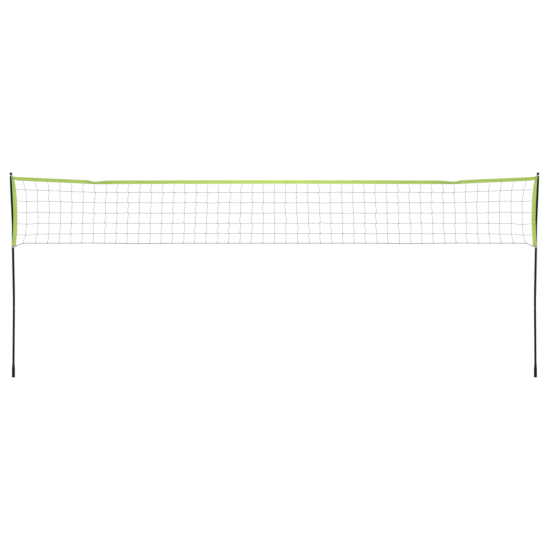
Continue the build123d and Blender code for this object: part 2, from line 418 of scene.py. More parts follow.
def foot_rubber():
    """Matte moulded rubber: fine grain, a parting line down both sides and pale dust near the ground."""
    f = Finish("foot_rubber", Specular_IOR_Level=0.10)
    where = f.place()
    grain = f.grain(where, scale=1500.0)
    cloud = f.grain(where, scale=45.0, detail=5.0)
    parts = f.parts(where)
    seam = f.spread(f.math("ABSOLUTE", parts["Y"]), low=0.0002, high=0.0007, to_low=1.0, to_high=0.0)
    near_ground = f.spread(parts["Z"], low=DUST_LOW, high=DUST_HIGH, to_low=1.0, to_high=0.0)
    dust = f.math("MULTIPLY", near_ground, f.spread(cloud, low=0.42, high=0.68))
    colour = f.mix(f.spread(cloud), grey(0.0050), grey(0.0085, warm=0.03))
    f.feed("Base Color", f.mix(f.math("MULTIPLY", dust, DUST_SHARE), colour, DUST))
    f.feed("Roughness", f.spread(cloud, to_low=0.62, to_high=0.8))
    f.bump(Relief(grain, depth=0.00025, strength=0.55), Relief(seam, depth=0.0004, strength=0.6))
    return f.material


def cap_plastic():
    """Satin moulded plastic with a faint parting line round the ball."""
    f = Finish("cap_plastic", Specular_IOR_Level=0.2)
    where = f.place()
    haze = f.grain(where, scale=60.0, detail=4.0)
    grain = f.grain(where, scale=1900.0, detail=2.0)
    away = f.math("ABSOLUTE", f.math("SUBTRACT", f.parts(where)["Z"], cap_high.z - BALL_R))
    seam = f.spread(away, low=0.0002, high=0.0006, to_low=1.0, to_high=0.0)
    f.feed("Base Color", f.mix(f.spread(haze), grey(0.007), grey(0.012)))
    f.feed("Roughness", f.spread(haze, to_low=0.33, to_high=0.50))
    f.bump(Relief(grain, depth=0.00012, strength=0.35), Relief(seam, depth=0.0003, strength=0.5))
    return f.material


LIME = (0.346, 0.480, 0.094, 1.0)
LIME_SLUB = (0.47, 0.62, 0.17, 1.0)
LIME_THREAD = (0.48, 0.62, 0.18, 1.0)
WEAVE_PERIOD = 0.0011
SLUB_SCALE = (40.0, 900.0, 1.0)
DYE_SCALE = (5.0, 30.0, 1.0)


def lime_cloth():
    """Lime plain weave polyester: the weave with painted shade between its threads, slubs, an uneven dye
    and a soft sheen.
    """
    f = Finish("lime_cloth", Sheen_Weight=0.25, Sheen_Roughness=0.45, Specular_IOR_Level=0.25)
    where = f.place(cloth=True)
    warp = f.ridges(where, WEAVE_PERIOD, across="Y", distortion=0.4)
    weft = f.ridges(where, WEAVE_PERIOD, across="X", distortion=0.4)
    over = f.math("MULTIPLY", f.math("SUBTRACT", warp, 0.5), f.math("SUBTRACT", weft, 0.5))
    weave = f.math("MULTIPLY_ADD", over, 2.0, 0.5)
    slub = f.grain(f.place(SLUB_SCALE, cloth=True), scale=1.0)
    dye = f.grain(f.place(DYE_SCALE, cloth=True), scale=1.0, detail=4.0)
    fuzz = f.grain(where, scale=1300.0, detail=4.0, rough=0.7)
    tone = f.mix(f.spread(dye), scaled(LIME, 0.93), scaled(LIME, 1.05))
    # Painted shade: the cloth is darkened between the threads of the weave, where shade falls.
    painted_shade_between_threads = f.spread(weave, low=0.15, high=0.5, to_low=0.35, to_high=0.0)
    tone = f.mix(painted_shade_between_threads, tone, scaled(LIME, 0.62))
    tone = f.mix(f.spread(slub, low=0.58, high=0.75, to_high=0.3), tone, LIME_SLUB)
    f.feed("Base Color", tone)
    f.feed("Roughness", f.spread(fuzz, to_low=0.62, to_high=0.85))
    f.bump(
        Relief(weave, depth=0.0003, strength=0.5),
        Relief(slub, depth=0.0003, strength=0.3),
        Relief(fuzz, depth=0.0001, strength=0.3),
    )
    return f.material


def cord_fibre(name, colour, light, yarn=0.0007, sheen=0.2):
    """Fine filament lines with painted shade between them, stray fibres and uneven wear on the strands of a
    cord.
    """
    f = Finish(name, Sheen_Weight=sheen, Sheen_Roughness=0.5, Specular_IOR_Level=0.15)
    where = f.place()
    lines = f.ridges(where, yarn, across="DIAGONAL", distortion=3.0)
    dirt = f.grain(where, scale=90.0, detail=4.0)
    fibre = f.grain(where, scale=2600.0, rough=0.7)
    tone = f.mix(f.spread(dirt, low=0.35), colour, light)
    # Painted shade: the strands are darkened between the filament lines, where shade falls.
    painted_shade_between_lines = f.spread(lines, low=0.0, high=0.5, to_low=0.4, to_high=0.0)
    f.feed("Base Color", f.mix(painted_shade_between_lines, tone, scaled(colour, 0.55)))
    f.feed("Roughness", f.spread(fibre, to_low=0.6, to_high=0.85))
    f.bump(Relief(lines, depth=0.00015, strength=0.5), Relief(fibre, depth=0.00008, strength=0.4))
    return f.material


def dark(value, cast=0.0):
    return (value, value, value + cast, 1.0)


PALE_CORD = cord_fibre("pale_cord", (0.50, 0.53, 0.42, 1.0), (0.66, 0.68, 0.58, 1.0))
DARK_CORD = cord_fibre("dark_cord", dark(0.012), dark(0.024, -0.001), sheen=0.0)
TWINE = cord_fibre("black_twine", dark(0.010, 0.001), dark(0.020, 0.001), yarn=0.0004, sheen=0.0)
THREAD = cord_fibre("lime_thread", LIME, LIME_THREAD, yarn=0.0003)
CLOTH = lime_cloth()


# ---------------------------------------------------------------------------------------------------
# Cloth bands

CLOTH_THICK = 0.0007
BAND_FLAT_WIDTH = 0.094
LAYER_GAP = 0.0014
CHANNEL_SHARE = 0.48
PUCKER_LENGTH = 0.0085
HEM_REACH = 0.010

# The top band's sleeve, measured down from the cord, and how it narrows at its ends
SLEEVE_X = 3.047
SLEEVE_TOP = 0.0046
SLEEVE_SEAM = 0.0135
SLEEVE_BULGE = 0.0052
SLEEVE_NARROWS_X = 2.99
END_BULGE_LOSS = 0.45
END_DROP_LOSS = 0.16
SLEEVE_CROWN = 0.0019
BEND_EASE = 0.13

# Its unevenness
BULGE_WAVER = 0.16
DROP_WAVER = 0.0009
SEAM_PUCKER = 0.00045
SEAM_REACH = 0.007
HEM_PUCKER_SHARE = 0.8
LONG_SHIFT = 0.0013
SHORT_SHIFT = 0.0009
HEM_SWAY = radians(7)
HEM_HELD_X = 2.90

# Its twist on each side of the middle, and the slanting crease below it
TWIST = radians(50)
TWIST_X = 2.11
TWIST_OUTER = 0.060
TWIST_INNER = 0.150
CREASE_X = 2.155
CREASE_TOP = 0.004
CREASE_SLOPE = 0.267
CREASE_DEPTH = 0.007
CREASE_EDGE = 0.004
CREASE_FADE = 0.014
CREASE_BELOW_CORD = (0.002, 0.015)


def swing(x):
    """How far the sleeve's hem is turned back about the cord."""
    reach = TWIST_OUTER if abs(x) > TWIST_X else TWIST_INNER
    held = eased(abs(x), HEM_HELD_X, SLEEVE_X)
    return TWIST * bell(abs(x), TWIST_X, reach) + HEM_SWAY * wander(x, length=0.31, seed=1) * (1 - held)


def cord_z(x):
    """The top cord's height: level over the middle, then straight up to each pole. Where the band
    twists, the netting holds its hem down, so the cord dips."""
    rise = (SLEEVE_END_Z - SAG_Z) / (CAD_SLEEVE_X - SAG_X)
    past = abs(x) - SAG_X
    if past < -BEND_EASE:
        lift = 0.0
    elif past > BEND_EASE:
        lift = rise * past
    else:
        lift = rise * (past + BEND_EASE) ** 2 / (4 * BEND_EASE)
    return SAG_Z + lift - SLEEVE_DROP * (1 - cos(swing(x)))


def folded(w, top, seam, bottom, bulge, gap):
    """Where w lies on a tape folded in two: -1 and 1 are its edges and 0 its fold, as (along, out)."""
    share = abs(w)
    side = 1 if w > 0 else -1
    if share > CHANNEL_SHARE:
        flat = (share - CHANNEL_SHARE) / (1 - CHANNEL_SHARE)
        return seam + flat * (bottom - seam), side * gap
    t = pi * (1 - share / CHANNEL_SHARE)
    along = (top + seam) / 2 - (top - seam) / 2 * cos(t)
    return along, side * (gap * cos(t / 2) + bulge * sin(t) * sin(t / 2))


def crease(x, along):
    """How far the cloth is tucked back below the slanting fold that the twist makes."""
    below = CREASE_TOP + (abs(x) - CREASE_X) * CREASE_SLOPE - along
    tucked = eased(below, 0.0, CREASE_EDGE) * exp(-max(0.0, below - CREASE_EDGE) / CREASE_FADE)
    return CREASE_DEPTH * tucked * eased(-along, *CREASE_BELOW_CORD)


def sleeve_point(x, w):
    """A point of the sleeve's cloth, between its two faces."""
    near_end = eased(abs(x), SLEEVE_NARROWS_X, SLEEVE_X)
    fullness = 1 + BULGE_WAVER * wander(x, length=0.05, seed=2)
    bulge = SLEEVE_BULGE * (1 - END_BULGE_LOSS * near_end) * fullness
    drop = SLEEVE_DROP * (1 - END_DROP_LOSS * near_end) + DROP_WAVER * wander(x, length=0.06, seed=3)
    along, out = folded(w, SLEEVE_TOP, -SLEEVE_SEAM, -drop, bulge, LAYER_GAP)
    low = -along / SLEEVE_DROP
    side = 1 if w > 0 else -1
    at_seam = bell(along, -SLEEVE_SEAM, SEAM_REACH)
    at_hem = bell(along, -drop, HEM_REACH)
    pucker = side * SEAM_PUCKER * (at_seam + HEM_PUCKER_SHARE * at_hem)
    out += pucker * wander(x, PUCKER_LENGTH, seed=4 + side)
    long_shift = LONG_SHIFT * wander(x, length=0.11, seed=6)
    shift = max(0.0, low) * (long_shift + SHORT_SHIFT * wander(x + along, length=0.035, seed=7))
    turn = swing(x)
    crown = SLEEVE_CROWN * cos(pi * min(1.0, abs(x) / SAG_X))
    y = NET_Y + out * cos(turn) - along * sin(turn) + shift + crease(x, along)
    z = cord_z(x) + crown * (1 - near_end) + along * cos(turn) + out * sin(turn)
    return Vector((x, y, z))


# A side band's centre line through its top, waist and foot, as (X, Z), and where it is drawn in
SIDE_TOP = (3.0600, 2.337)
SIDE_WAIST = (3.027, 1.930)
SIDE_FOOT = (3.044, side_low.z)
SIDE_TOP_Z = 2.3505
DRAWN_IN = 0.0022
DRAWN_IN_Z = 2.23
DRAWN_IN_REACH = 0.08

# Its width, and how it is gathered, pleated and brought forward near its top
SIDE_WIDTH = 0.046
SIDE_TOP_WIDTH = 0.0250
GATHER_LENGTH = 0.270
SIDE_FOLD = 0.013
SIDE_BULGE = 0.0034
PLEAT_DEPTH = 0.0017
PLEAT_TURNS = 5.2
PLEAT_Z = (2.20, 2.33)
FORWARD = 0.0056
FORWARD_Z = (2.275, 2.31)

# Its unevenness
LONG_SLACK = 0.0016
SHORT_SLACK = 0.0008
SIDE_PUCKER = 0.0004
SIDE_SWAY = radians(6)
SIDE_WAVER = 0.0007


def side_x(z):
    """The side band's centre line: a parabola through its top, waist and foot, drawn in below the top."""
    (xa, za), (xb, zb), (xc, zc) = SIDE_TOP, SIDE_WAIST, SIDE_FOOT
    top = xa * (z - zb) * (z - zc) / ((za - zb) * (za - zc))
    waist = xb * (z - za) * (z - zc) / ((zb - za) * (zb - zc))
    foot = xc * (z - za) * (z - zb) / ((zc - za) * (zc - zb))
    return top + waist + foot - DRAWN_IN * bell(z, DRAWN_IN_Z, DRAWN_IN_REACH)


def side_half(z):
    """Half the tape's width, gathered in over its last stretch below the top."""
    gather = max(0.0, 1 - (SIDE_TOP[1] - z) / GATHER_LENGTH) ** 2
    return (SIDE_WIDTH - (SIDE_WIDTH - SIDE_TOP_WIDTH) * min(1.0, gather)) / 2


def side_point(z, w, side):
    """A point of a side band's cloth. It hangs folded, with its fold towards the pole."""
    half = side_half(z)
    along, out = folded(w, half, half - SIDE_FOLD, -half, SIDE_BULGE, LAYER_GAP)
    face = 1 if w > 0 else -1
    pleat = eased(z, *PLEAT_Z) * PLEAT_DEPTH * sin(PLEAT_TURNS * pi * along / half)
    slack = LONG_SLACK * wander(z, length=0.16, seed=11 + side)
    slack += SHORT_SLACK * wander(z + along, length=0.045, seed=13 + side)
    out += face * SIDE_PUCKER * bell(along, -half, HEM_REACH) * wander(z, PUCKER_LENGTH, seed=15 + face)
    turn = SIDE_SWAY * wander(z, length=0.23, seed=17 + side)
    forward = FORWARD * eased(z, *FORWARD_Z)
    x = side_x(z) + along * cos(turn) + SIDE_WAVER * wander(z, length=0.05, seed=19 + side)
    return Vector((side * x, NET_Y - forward + out + pleat + slack + along * sin(turn), z))


CLOTH_ACROSS = 37
SLEEVE_STEP = 0.006
SIDE_STEP = 0.0045

# Stitches: the shares of the band's half width that the seams follow, and the shape of one thread
SLEEVE_SEAMS = (0.53, 0.94)
SIDE_SEAMS = (0.62, 0.94)
SEAM_INSET = 0.004
STITCH_PITCH = 0.0048
STITCH_R = 0.00036
STITCH_START = 0.16
STITCH_END = 0.84
STITCH_SHARES = (0.0, 0.2, 0.5, 0.8, 1.0)
STITCH_TAPER = np.array([0.7, 1.0, 1.0, 1.0, 0.7])
STITCH_ARCH = 2.2
NEARBY = 0.02

# Rows of zigzag threads that tack the side bands down
TACK_LEVELS = (SIDE_FOOT[1] + 0.008, 2.318, 2.339)
TACK_COUNT = 26
TACK_START = -0.96
TACK_SPAN = 0.9
TACK_WIDTH = 0.018
TACK_HALF_HEIGHT = 0.0022
TACK_ARCH = 0.0004
TACK_LIFT = CLOTH_THICK * 0.9


def cloth_grid(point, stations, width):
    """Rows of cloth points at each station along a band, with their cloth coordinates."""
    across = np.linspace(-1, 1, CLOTH_ACROSS)
    points = np.array([[point(s, w) for w in across] for s in stations])
    along = np.broadcast_to(np.array(stations)[:, None], points.shape[:2])
    over = np.broadcast_to(across[None, :] * width / 2, points.shape[:2])
    return points, np.stack([along, over], axis=-1)


def stations(start, end, step):
    return [float(s) for s in np.linspace(start, end, round(abs(end - start) / step) + 1)]


def stitches(shape, point, start, end, w):
    """A row of short threads along a band at share w of its width, each sunk at both ends."""
    count = round(abs(end - start) / STITCH_PITCH)
    face = 1 if w > 0 else -1
    for i in range(count):
        a = start + (end - start) * (i + STITCH_START) / count
        b = start + (end - start) * (i + STITCH_END) / count
        pa, pb = point(a, w), point(b, w)
        middle = (a + b) / 2
        inward = point(middle, w - face * NEARBY) - point(middle, w + face * NEARBY)
        out = inward.cross(pb - pa).normalized()
        if out.y * face < 0:
            out = -out
        line = []
        for t in STITCH_SHARES:
            lift = CLOTH_THICK / 2 - STITCH_R + STITCH_ARCH * STITCH_R * sin(pi * t)
            line.append(pa.lerp(pb, t) + out * lift)
        shape.tube(np.array(line), STITCH_R * STITCH_TAPER, sides=4)


def zigzag(shape, point, z):
    """A row of slanting threads across the front of a side band."""
    for i in range(TACK_COUNT):
        w = TACK_START + TACK_SPAN * i / (TACK_COUNT - 1)
        a = point(z, w) + Vector((0, -TACK_LIFT, TACK_HALF_HEIGHT))
        b = point(z, w + TACK_WIDTH) + Vector((0, -TACK_LIFT, -TACK_HALF_HEIGHT))
        middle = a.lerp(b, 0.5) + Vector((0, -TACK_ARCH, 0))
        shape.tube(np.array([a, middle, b]), STITCH_R, sides=4)


def make_top_band():
    shape = Shape()
    points, cloth = cloth_grid(sleeve_point, stations(-SLEEVE_X, SLEEVE_X, SLEEVE_STEP), BAND_FLAT_WIDTH)
    shape.grid(points, cloth=cloth)
    band = shape.piece("top_band_cloth", CLOTH, "band_fabric", thick=CLOTH_THICK)
    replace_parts(band, "top_band")
    for name, face in (("front", -1), ("back", 1)):
        rows = Shape()
        for w in SLEEVE_SEAMS:
            stitches(rows, sleeve_point, -SLEEVE_X + SEAM_INSET, SLEEVE_X - SEAM_INSET, face * w)
        rows.piece(f"top_band_stitches_{name}", THREAD, "band_fabric")


def make_side_band(side_name):
    side = SIDES[side_name]
    shape = Shape()

    def point(z, w):
        return side_point(z, w, side)

    levels = stations(SIDE_FOOT[1], SIDE_TOP_Z, SIDE_STEP)
    points, cloth = cloth_grid(point, levels, BAND_FLAT_WIDTH)
    shape.grid(points, cloth=cloth)
    band = shape.piece(f"{side_name}_side_band_cloth", CLOTH, "band_fabric", thick=CLOTH_THICK)
    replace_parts(band, f"{side_name}_side_band")
    rows = Shape()
    for face in (-1, 1):
        for w in SIDE_SEAMS:
            stitches(rows, point, SIDE_FOOT[1] + SEAM_INSET, SIDE_TOP_Z - SEAM_INSET, face * w)
    sewn = rows.piece(f"{side_name}_side_band_stitches", THREAD, "band_fabric")
    tacks = Shape()
    for z in TACK_LEVELS:
        zigzag(tacks, point, z)
    tack = tacks.piece(f"{side_name}_side_band_tacks", THREAD, "band_fabric")


# ---------------------------------------------------------------------------------------------------
# Netting

COLUMNS = 45
PITCH = 0.1316
FIRST_COLUMN_X = 2.90

# How the uprights bow out at the poles, and lean over most of the net
BOW = 0.042
BOW_REACH = 0.320
LEAN = 0.024
LEAN_STARTS = (0.05, 0.35)
LEAN_ENDS = (2.1, 2.55)

# Each long twine's level over the middle, its rise to the side bands, and its dip at the first upright
Row = namedtuple("Row", "level rise dip")
ROWS = (
    Row(2.163, 0.035, 0.002),
    Row(2.043, 0.025, 0.009),
    Row(1.921, 0.013, 0.008),
    Row(1.803, -0.003, 0.010),
    Row(1.683, -0.011, 0.010),
)
ROW_END_X = 3.005
TOP_CELL = 0.13
DIP_REACH = 0.07
ROW_WAVER = 0.0022

# The bottom cord's slight rise and its shallow sag, on each side of the middle
BOTTOM_RISE = 0.002
BOTTOM_RISE_X = 2.2
BOTTOM_RISE_REACH = 0.2
BOTTOM_SAG = 0.0048
BOTTOM_SAG_X = 1.56
BOTTOM_SAG_REACH = 0.24

# Twine ends, held between a hem's two layers
HELD_LENGTH = 0.0115
HELD_EASE = 0.004
PRESSED = 0.5
UPRIGHT_HELD_SHARES = (0.75, 0.88)
ROW_HELD_SHARE = 0.8
HEM_LEAD = 0.010

# How far knots stray, and how far a twine steps sideways at each
KNOT_STRAY = 0.0016
KNOT_STRAY_Y = 0.0011
KNOT_SLIP = 0.0008
JOG = 0.003
JOG_OF_LEAN = 0.35
TOP_JOG = 1.5

# The route of a twine at a knot, and how it strays between knots
KNOT_LEAD = 0.0045
KNOT_CROSS = 0.0006
CORD_LEAD = 0.008
CORD_FRONT = 0.0004
BELLY = 0.0030
CURL = 0.0022
BELLY_Y = 0.0012
UPRIGHT_SHARES = (0.3, 0.55, 0.8)
ROW_FRONT = 0.0006
ROW_SAG = 0.0010
ROW_SAG_STRAY = 0.0014
ROW_WAVE = 0.0010
ROW_SHARES = (0.2, 0.5, 0.8)

# The twine's two plies, its knots and its hitches on the bottom cord
TWINE_STEP = 0.0024
TWINE_LAY = 0.013
TWINE_LOBE = 0.18
TWINE_KNOT_SIZE = (0.0044, 0.0052)
TWINE_KNOT_R = 0.0014
TWINE_KNOT_TILT = 0.3
HITCH_TURNS = 2
HITCH_OVERLAP = 0.1
HITCH_STEPS = 40
HITCH_SPACING = 2.1
HITCH_SUNK = 0.7
HITCH_R = TWINE_R * 0.9

Knot = namedtuple("Knot", "x z y jog")

draw = Random(45)


def row_z(number, x):
    """A row's height: level, then sloping to the side bands, with a dip at the first upright twine."""
    row = ROWS[number]
    past = max(0.0, abs(x) - SAG_X) / (ROW_END_X - SAG_X)
    dip = row.dip * bell(abs(x), FIRST_COLUMN_X, DIP_REACH)
    return row.level + row.rise * past - dip + ROW_WAVER * wander(x, length=0.30, seed=21 + number)


def bottom_z(x):
    """The bottom cord's height: all but level, with a slight rise and a shallow sag on each side."""
    rise = BOTTOM_RISE * bell(abs(x), BOTTOM_RISE_X, BOTTOM_RISE_REACH)
    sag = BOTTOM_SAG * bell(abs(x), BOTTOM_SAG_X, BOTTOM_SAG_REACH)
    return BOTTOM_Z + rise - sag


def hem_point(x, share=1.0):
    """A point between the two layers of the sleeve, share of the way from its fold to its edges."""
    return (sleeve_point(x, -share) + sleeve_point(x, share)) / 2


def side_hem_point(z, side, share=1.0):
    """A point between the two layers of a side band, share of the way from its fold to its edges."""
    return (side_point(z, -share, side) + side_point(z, share, side)) / 2


def squeezed(line, both_ends=False):
    """A twine's radius along its line: it is pressed thin where a hem's two layers hold its end."""
    radii = []
    for d in lengths(line):
        radii.append(TWINE_R * (PRESSED + (1 - PRESSED) * eased(d, HELD_LENGTH, HELD_LENGTH + HELD_EASE)))
    return np.minimum(radii, radii[::-1]) if both_ends else np.array(radii)


def net_knots():
    """The mesh's knots, by column, from the hem down to the bottom cord."""
    knots = []
    half = (COLUMNS - 1) / 2 * PITCH
    top, bottom = ROWS[0].level + TOP_CELL, BOTTOM_Z
    for column in range(COLUMNS):
        x = column * PITCH - half
        side = 1 if x > 0 else -1
        bow = side * BOW * exp(-(half - abs(x)) / BOW_REACH)
        lean = LEAN * eased(abs(x), *LEAN_STARTS) * (1 - eased(abs(x), *LEAN_ENDS))
        levels = []
        for row in range(-1, len(ROWS) + 1):
            at_cord = row == len(ROWS)
            if row < 0:
                z = top
            elif at_cord:
                z = bottom_z(x)
            else:
                z = row_z(row, x)
            height = (z - (top + bottom) / 2) / ((top - bottom) / 2)
            at = x + bow * height**4 - side * lean * height / 2 + draw.gauss(0, KNOT_STRAY)
            jog = side * (JOG_OF_LEAN * lean + abs(draw.gauss(0, JOG)))
            if row == 0:
                jog *= TOP_JOG
            y = NET_Y if at_cord else NET_Y + draw.gauss(0, KNOT_STRAY_Y)
            slip = draw.gauss(0, KNOT_SLIP)
            levels.append(Knot(at, z if at_cord else z + slip, y, jog))
        knots.append(levels)
    return knots


def column_line(levels):
    """The route of one upright twine: it enters each knot on one side and leaves on the other."""
    top_x = levels[0].x
    hem = hem_point(top_x)
    points = [hem_point(top_x, share) for share in UPRIGHT_HELD_SHARES]
    points += [hem, hem - Vector((0, 0, HEM_LEAD))]
    for above, below in zip(levels, levels[1:]):
        last = below is levels[-1]
        if above is levels[0]:
            start = points[-1]
        else:
            start = Vector((above.x - above.jog / 2, above.y, above.z))
            points.append(start + Vector((above.jog / 3, 0, KNOT_CROSS)))
            points.append(start - Vector((0, 0, KNOT_LEAD)))
        end = Vector((below.x + (0.0 if last else below.jog / 2), below.y, below.z))
        belly = draw.gauss(0, BELLY)
        curl = draw.gauss(0, CURL)
        for share in UPRIGHT_SHARES:
            p = start.lerp(end, share)
            p.x += belly * sin(pi * share) + curl * sin(2 * pi * share)
            p.y += BELLY_Y * sin(pi * share) * (1 if belly > 0 else -1)
            points.append(p)
        if last:
            points.append(end + Vector((0, 0, CORD_LEAD)))
            points.append(end + Vector((0, -CORD_FRONT, BOTTOM_CORD_R)))
        else:
            points.append(end + Vector((0, 0, KNOT_LEAD)))
            points.append(end + Vector((-below.jog / 6, 0, KNOT_CROSS)))
    return points


def row_line(number, knots):
    """The route of one long twine from side band to side band, through its knots."""
    held = []
    hems = []
    for side in (-1, 1):
        end_z = row_z(number, side * ROW_END_X)
        held.append(side_hem_point(end_z, side, ROW_HELD_SHARE))
        hems.append(side_hem_point(end_z, side))
    stops = [hems[0]]
    for levels in knots:
        knot = levels[number + 1]
        stops.append(Vector((knot.x, knot.y - ROW_FRONT, knot.z)))
    stops.append(hems[1])
    points = [held[0], hems[0]]
    for a, b in zip(stops, stops[1:]):
        sag = ROW_SAG + abs(draw.gauss(0, ROW_SAG_STRAY))
        wave = draw.gauss(0, ROW_WAVE)
        for share in ROW_SHARES:
            p = a.lerp(b, share)
            p.z += wave * sin(2 * pi * share) - sag * sin(pi * share)
            points.append(p)
        points.append(b)
    points.append(held[1])
    return points


def hitch(shape, x):
    """Two turns of twine round the bottom cord, where an upright twine ends."""
    t = np.linspace(-HITCH_OVERLAP, HITCH_TURNS + HITCH_OVERLAP, HITCH_STEPS)
    angle = 2 * pi * t
    reach = BOTTOM_CORD_R + TWINE_R * HITCH_SUNK
    along = x + (t - 1) * HITCH_SPACING * TWINE_R
    y = NET_Y - reach * np.sin(angle)
    z = bottom_z(x) + reach * np.cos(angle)
    shape.tube(np.stack([along, y, z], axis=1), HITCH_R, sides=8)


def make_netting():
    knots = net_knots()
    uprights, rows, lumps, hitches = Shape(), Shape(), Shape(), Shape()
    for levels in knots:
        line = smooth_line(column_line(levels), TWINE_STEP)
        uprights.tube(line, squeezed(line), lay=TWINE_LAY, lobe=TWINE_LOBE)
        hitch(hitches, levels[-1].x)
        for knot in levels[1:-1]:
            turn = (draw.uniform(0, 2 * pi), draw.uniform(-TWINE_KNOT_TILT, TWINE_KNOT_TILT))
            size = draw.uniform(*TWINE_KNOT_SIZE)
            lumps.knot((knot.x, knot.y, knot.z), size, TWINE_KNOT_R, turn, flat=0.8, steps=30, sides=5)
    for number in range(len(ROWS)):
        line = smooth_line(row_line(number, knots), TWINE_STEP)
        rows.tube(line, squeezed(line, both_ends=True), lay=TWINE_LAY, lobe=TWINE_LOBE)
    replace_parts(uprights.piece("net_uprights", TWINE, "twine"), "net_columns")
    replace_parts(rows.piece("net_long_twines", TWINE, "twine"), "net_rows")
    lumps.piece("net_knots", TWINE, "twine")
    hitches.piece("net_hitches", TWINE, "twine")


# ---------------------------------------------------------------------------------------------------
# Loops, ties and the long cords

TOP_CORD_LAY = 0.018
TOP_CORD_STEP = 0.01
TOP_CORD_SPACING = 0.02
TOP_CORD_INNER_X = SLEEVE_X - 0.09
BOTTOM_CORD_LAY = 0.014
BOTTOM_CORD_STEP = 0.006
BOTTOM_END_X = 3.0325
BOTTOM_LEVEL_X = 2.85

# The bottom cord's own knot, beside each tie
DARK_KNOT_X = 3.019
DARK_KNOT_RISE = 0.0092
DARK_KNOT_SIZE = 0.0062
DARK_KNOT_CORD_R = 0.0019

LOOP_LAY = 0.013
LOOP_TURNS = 3
LOOP_RISE = 0.0034
TIE_TURNS = 5
TIE_RISE = 0.0037
TIE_START = 0.0014
TURN_STEPS = 40
LOOP_KNOT_SIZE = 0.0066
TIE_KNOT_SIZE = 0.0068
PALE_KNOT_CORD_R = 0.0021
TIE_KNOT_FORWARD = 0.001

# Cut ends of cord, slightly thinner than the cord and melted round at the tip
END_STEP = 0.001
END_SHARE = 0.95
TIP_START = 0.0012
TIP_LENGTH = 0.0016
TIP_LEAST_R = 0.0004
TIP_R = 0.0016
TIP_STEPS = 7
TIP_SHOULDER = 0.5


def lashing(axis_x, low, radius, turns, rise, knot):
    """A cord wound up round an upright axis, with both ends led straight off it into a knot."""
    away = Vector((knot.x - axis_x, knot.y))
    lead = acos(radius / away.length) / (2 * pi)
    t = np.linspace(lead, turns - lead, turns * TURN_STEPS)
    angle = atan2(away.y, away.x) + 2 * pi * t
    x = axis_x + radius * np.cos(angle)
    ring = np.stack([x, radius * np.sin(angle), low + rise * t], axis=1)
    return np.vstack([knot, ring, knot])


def mirrored(points, side):
    return np.array([(side * x, y, z) for x, y, z in points])


def both_sides(right, inner, step):
    """A long cord: its right end, its middle and the same end on the left, joined smoothly."""
    left = [(-x, y, z) for x, y, z in reversed(right)]
    return smooth_line([*right, *inner, *left], step)


def top_cord_line():
    """From knot to knot: out of the sleeve's mouth on each side, and along inside the sleeve."""
    right = [
        (loop_knot.x - 0.003, loop_knot.y - 0.001, loop_knot.z - 0.004),
        (SLEEVE_X + 0.006, NET_Y + 0.002, SLEEVE_END_Z + 0.008),
        (SLEEVE_X - 0.003, NET_Y, cord_z(SLEEVE_X) + 0.001),
        (SLEEVE_X - 0.02, NET_Y, cord_z(SLEEVE_X - 0.02)),
    ]
    along = stations(TOP_CORD_INNER_X, -TOP_CORD_INNER_X, TOP_CORD_SPACING)
    inner = [(x, NET_Y, cord_z(x)) for x in along]
    return both_sides(right, inner, TOP_CORD_STEP)


def bottom_cord_line():
    """From tie to tie through the lowest cells: a steep end, an eased corner, then nearly level."""
    end_z = tie_knot.z + 0.002
    right = [
        (BOTTOM_END_X, NET_Y, end_z),
        (3.008, NET_Y, end_z + 0.0125),
        (2.975, NET_Y, BOTTOM_Z - 0.0155),
        (2.950, NET_Y, BOTTOM_Z - 0.0060),
        (2.925, NET_Y, BOTTOM_Z - 0.0005),
    ]
    inner = [(x, NET_Y, bottom_z(x)) for x in stations(BOTTOM_LEVEL_X, -BOTTOM_LEVEL_X, PITCH)]
    return both_sides(right, inner, BOTTOM_CORD_STEP)


def make_top_cord():
    shape = Shape()
    shape.rope(top_cord_line(), TOP_CORD_R, TOP_CORD_LAY, sides=5, steps=8)
    obj = shape.piece("top_cord_rope", PALE_CORD, "tie_cord")
    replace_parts(obj, "top_cord")
    return obj


def make_bottom_cord():
    shape = Shape()
    shape.rope(bottom_cord_line(), BOTTOM_CORD_R, BOTTOM_CORD_LAY, sides=5, steps=8)
    for side in SIDES.values():
        centre = Vector((side * DARK_KNOT_X, NET_Y, tie_knot.z + DARK_KNOT_RISE))
        shape.knot(centre, DARK_KNOT_SIZE, DARK_KNOT_CORD_R, (0.5, 0.2), flat=0.9, steps=48, sides=8)
        bend = centre + Vector((-side * 0.001, -0.005, -0.005))
        tip = centre + Vector((side * 0.003, -0.006, -0.013))
        end = smooth_line([centre, bend, tip], END_STEP)
        shape.rope(end, BOTTOM_CORD_R * END_SHARE, BOTTOM_CORD_LAY)
    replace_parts(shape.piece("bottom_cord_rope", DARK_CORD, "bottom_cord"), "bottom_cord")


def loop_rope(shape, line):
    shape.rope(line, LOOP_CORD_R, LOOP_LAY, sides=8, steps=14)


def cut_end(shape, start, *steps):
    """A short cut end of loop cord that hangs from a knot, with its tip melted round."""
    points = [start]
    for step in steps:
        points.append(points[-1] + Vector(step))
    line = smooth_line(points, END_STEP)
    shape.rope(line, LOOP_CORD_R * END_SHARE, LOOP_LAY, sides=7, steps=12)
    tip = Vector(line[-1])
    away = (tip - Vector(line[-3])).normalized()
    reach = []
    for t in np.linspace(0, pi, TIP_STEPS):
        reach.append(tip - away * TIP_START + away * TIP_LENGTH * (1 - cos(t)))
    radii = [TIP_LEAST_R + TIP_R * sin(t) for t in np.linspace(TIP_SHOULDER, pi, TIP_STEPS)]
    shape.tube(np.array(reach), np.array(radii), sides=8)


